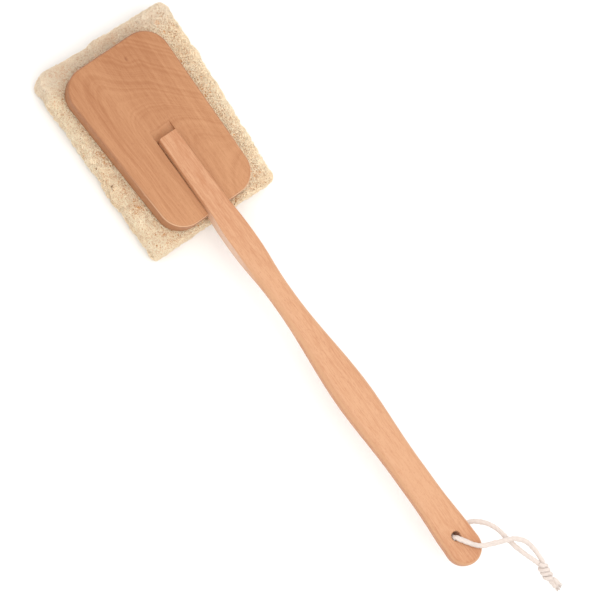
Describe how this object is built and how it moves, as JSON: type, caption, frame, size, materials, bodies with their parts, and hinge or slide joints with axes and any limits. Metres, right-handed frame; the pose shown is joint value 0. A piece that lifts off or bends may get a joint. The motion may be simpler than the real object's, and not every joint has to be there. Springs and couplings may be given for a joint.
{
  "type": "back scrubber",
  "caption": "Long wooden back scrubber with a pressed luffa pad under a rounded paddle board, a shaped handle let into the board, and a knotted cotton hanging cord.",
  "frame": {"origin": "middle of the scrubbing face, straight under the middle of the paddle board", "axes": "+X along the handle towards the end of the grip, +Y to the handle's left as the grip points away from the viewer, +Z out of the back of the board, away from the scrubbing face"},
  "size_m": [0.4863, 0.1124, 0.0422],
  "materials": {
    "luffa": "matte",
    "adhesive": "satin",
    "board_wood": "satin",
    "handle_wood": "satin",
    "screw_steel": "satin",
    "cotton": "matte"
  },
  "bodies": {
    "brush": {"loofah_pad": "luffa", "pad_adhesive": "adhesive", "paddle_board": "board_wood", "handle": "handle_wood", "handle_screws": "screw_steel"},
    "cord_upper": {"cord_upper_loop": "cotton"},
    "cord_lower": {"cord_lower_loop": "cotton"},
    "cord_end": {"cord_knot": "cotton"}
  },
  "joints": [
    {"name": "cord_swing", "type": "hinge", "parent": "brush", "child": "cord_upper", "pos_m": [0.3365, -0.0012, 0.0331], "axis": [0, 0, 1], "range_deg": [-156, 53]},
    {"name": "cord_bend", "type": "hinge", "parent": "cord_upper", "child": "cord_lower", "pos_m": [0.3615, 0.0302, 0.0331], "axis": [0, 0, 1], "range_deg": [-45, 70]},
    {"name": "knot_flop", "type": "hinge", "parent": "cord_lower", "child": "cord_end", "pos_m": [0.3905, 0.0382, 0.0331], "axis": [0.1219, 0.9925, 0], "range_deg": [-60, 60]}
  ]
}
